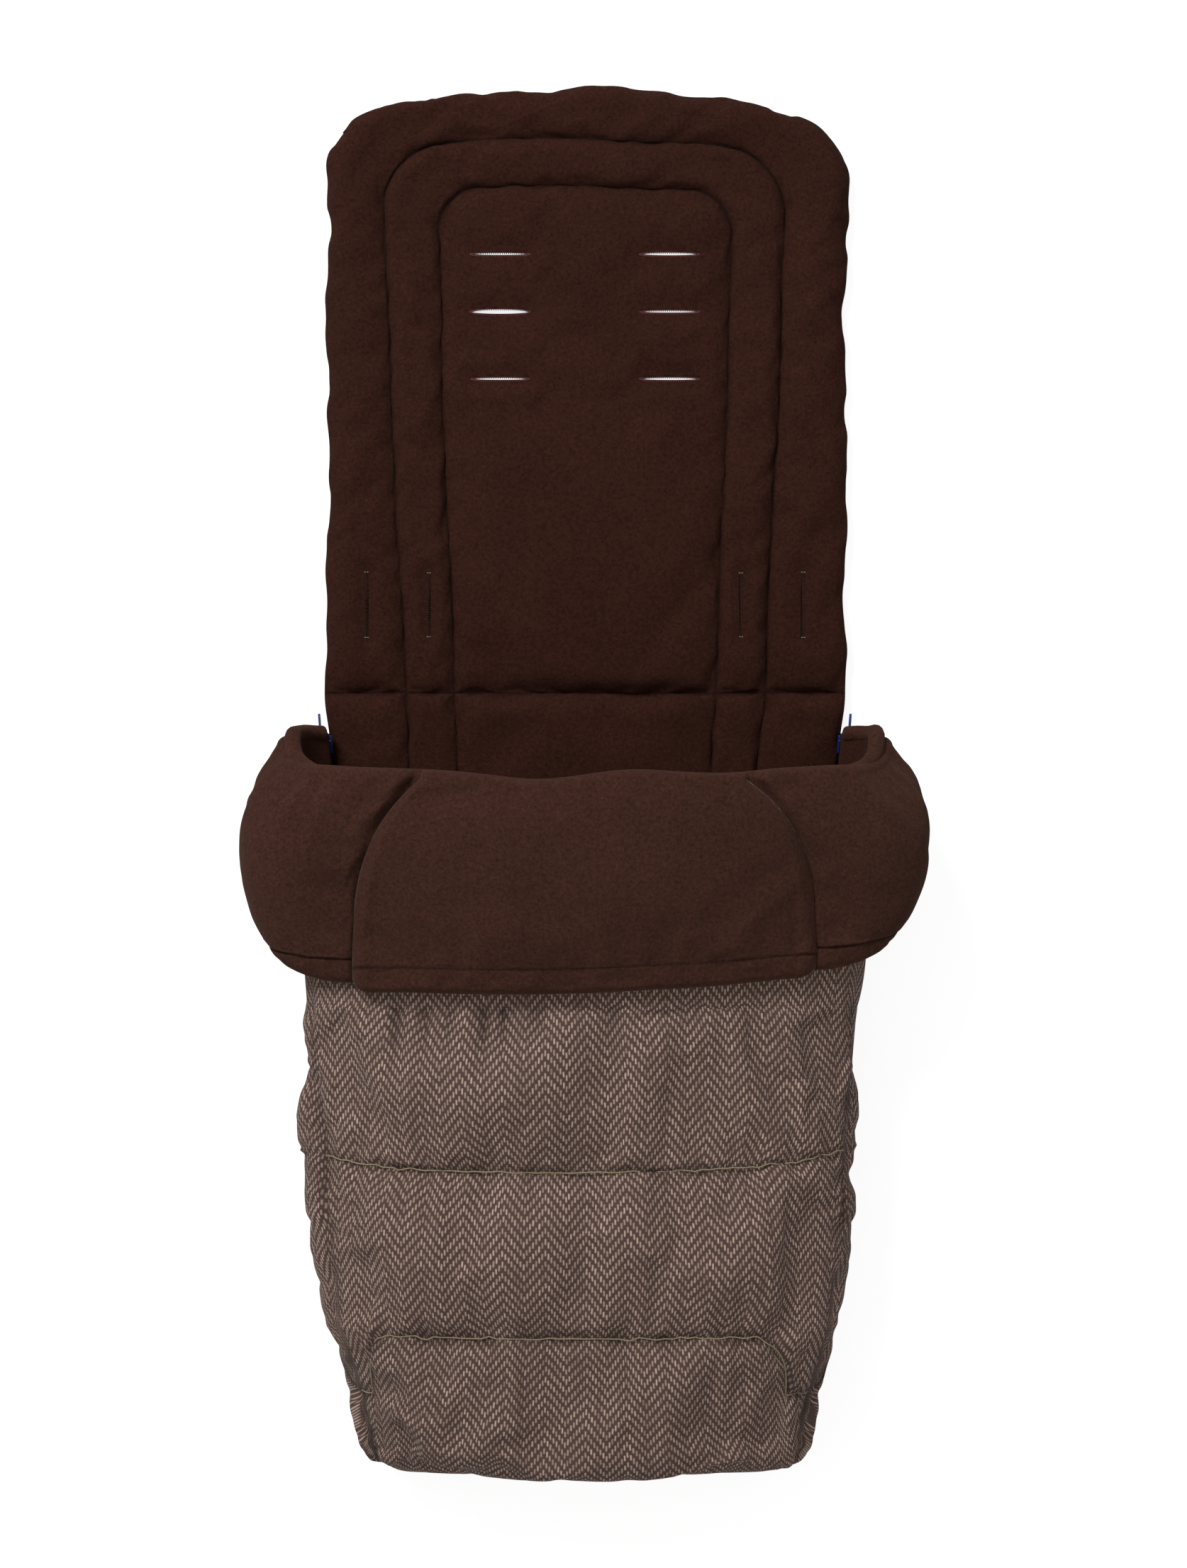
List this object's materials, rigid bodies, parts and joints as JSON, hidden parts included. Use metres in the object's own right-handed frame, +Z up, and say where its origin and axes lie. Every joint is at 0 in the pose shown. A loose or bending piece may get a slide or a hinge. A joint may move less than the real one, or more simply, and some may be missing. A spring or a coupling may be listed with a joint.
{
  "type": "stroller footmuff",
  "caption": "Padded pushchair footmuff lying open: quilted fleece liner with harness slots, puffed herringbone pouch with side zips and a turned-down fleece cuff.",
  "frame": {"origin": "centre of the bounding box's underside, where the footmuff lies on its back", "axes": "+Y from the foot end to the head end, +Z up out of the liner, +X to the right in the picture"},
  "size_m": [0.4424, 0.934, 0.1406],
  "materials": {
    "fleece": "brushed fleece",
    "herringbone": "woven herringbone cloth",
    "wadding": "soft polyester wadding",
    "rear_cloth": "plain woven cloth",
    "thread": "stitched thread",
    "zip_tape": "woven tape",
    "zip_teeth": "moulded teeth",
    "zip_metal": "glossy blue enamel"
  },
  "bodies": {
    "seat_section": {"seat_fleece": "fleece", "seat_wadding": "wadding", "seat_rear_cloth": "rear_cloth", "zip_tape_liner_left": "zip_tape", "zip_teeth_liner_left": "zip_teeth", "zip_top_stop_left": "zip_metal", "zip_bottom_stop_left": "zip_metal", "zip_tape_liner_right": "zip_tape", "zip_teeth_liner_right": "zip_teeth", "zip_top_stop_right": "zip_metal", "zip_bottom_stop_right": "zip_metal"},
    "back_section": {"back_fleece": "fleece", "back_wadding": "wadding", "back_rear_cloth": "rear_cloth", "shoulder_slot_edge_left_1": "thread", "shoulder_slot_edge_left_2": "thread", "shoulder_slot_edge_left_3": "thread", "lap_slot_edge_left_inner": "thread", "lap_slot_edge_left_outer": "thread", "shoulder_slot_edge_right_1": "thread", "shoulder_slot_edge_right_2": "thread", "shoulder_slot_edge_right_3": "thread", "lap_slot_edge_right_inner": "thread", "lap_slot_edge_right_outer": "thread"},
    "apron": {"apron_lining": "fleece", "upper_panel": "herringbone", "upper_panel_wadding": "wadding", "middle_panel": "herringbone", "middle_panel_wadding": "wadding", "toe_panel": "herringbone", "toe_panel_wadding": "wadding", "gusset_left": "herringbone", "gusset_wadding_left": "wadding", "zip_tape_apron_left": "zip_tape", "zip_teeth_apron_left": "zip_teeth", "gusset_right": "herringbone", "gusset_wadding_right": "wadding", "zip_tape_apron_right": "zip_tape", "zip_teeth_apron_right": "zip_teeth"},
    "cuff_centre": {"cuff_centre_backing": "herringbone", "cuff_centre_fleece": "fleece", "cuff_centre_wadding": "wadding"},
    "cuff_wing_left": {"cuff_backing_left": "herringbone", "cuff_wing_left": "fleece", "cuff_wadding_left": "wadding"},
    "zip_slider_left": {"zip_slider_left": "zip_metal"},
    "zip_pull_left": {"zip_pull_left": "zip_metal"},
    "cuff_wing_right": {"cuff_backing_right": "herringbone", "cuff_wing_right": "fleece", "cuff_wadding_right": "wadding"},
    "zip_slider_right": {"zip_slider_right": "zip_metal"},
    "zip_pull_right": {"zip_pull_right": "zip_metal"}
  },
  "joints": [
    {"name": "back_fold", "type": "hinge", "parent": "seat_section", "child": "back_section", "pos_m": [0, 0.0615, 0.009], "axis": [1, 0, 0], "range_deg": [0, 72]},
    {"name": "apron_open", "type": "hinge", "parent": "seat_section", "child": "apron", "pos_m": [0, -0.4587, 0.01], "axis": [1, 0, 0], "range_deg": [0, 90]},
    {"name": "cuff_unfold", "type": "hinge", "parent": "apron", "child": "cuff_centre", "pos_m": [0, 0.003, 0.12543], "axis": [-1, 0, 0], "range_deg": [0, 120]},
    {"name": "cuff_wing_unfold_left", "type": "hinge", "parent": "apron", "child": "cuff_wing_left", "pos_m": [-0.111, 0.00344, 0.12441], "axis": [-0.7292, 0.2891, -0.6202], "range_deg": [0, 120]},
    {"name": "cuff_wing_unfold_right", "type": "hinge", "parent": "apron", "child": "cuff_wing_right", "pos_m": [0.111, 0.00344, 0.12441], "axis": [-0.7292, -0.2891, 0.6202], "range_deg": [0, 120]},
    {"name": "zip_slide_left", "type": "slide", "parent": "seat_section", "child": "zip_slider_left", "axis": [0.075, -0.9972, 0], "range_m": [0, 0.372]},
    {"name": "zip_slide_right", "type": "slide", "parent": "seat_section", "child": "zip_slider_right", "axis": [-0.075, -0.9972, 0], "range_m": [0, 0.372]},
    {"name": "zip_pull_turn_left", "type": "hinge", "parent": "zip_slider_left", "child": "zip_pull_left", "pos_m": [-0.17691, 0.02628, 0.0203], "axis": [0, 0, 1], "range_deg": [0, 165]},
    {"name": "zip_pull_turn_right", "type": "hinge", "parent": "zip_slider_right", "child": "zip_pull_right", "pos_m": [0.17691, 0.02628, 0.0203], "axis": [0, 0, -1], "range_deg": [0, 165]}
  ],
  "couplings": [
    {"joint": "cuff_wing_unfold_left", "follows": "cuff_unfold", "ratio": 1},
    {"joint": "cuff_wing_unfold_right", "follows": "cuff_unfold", "ratio": 1},
    {"joint": "zip_slide_left", "follows": "apron_open", "m_per_rad": 0.2368},
    {"joint": "zip_slide_right", "follows": "apron_open", "m_per_rad": 0.2368}
  ]
}
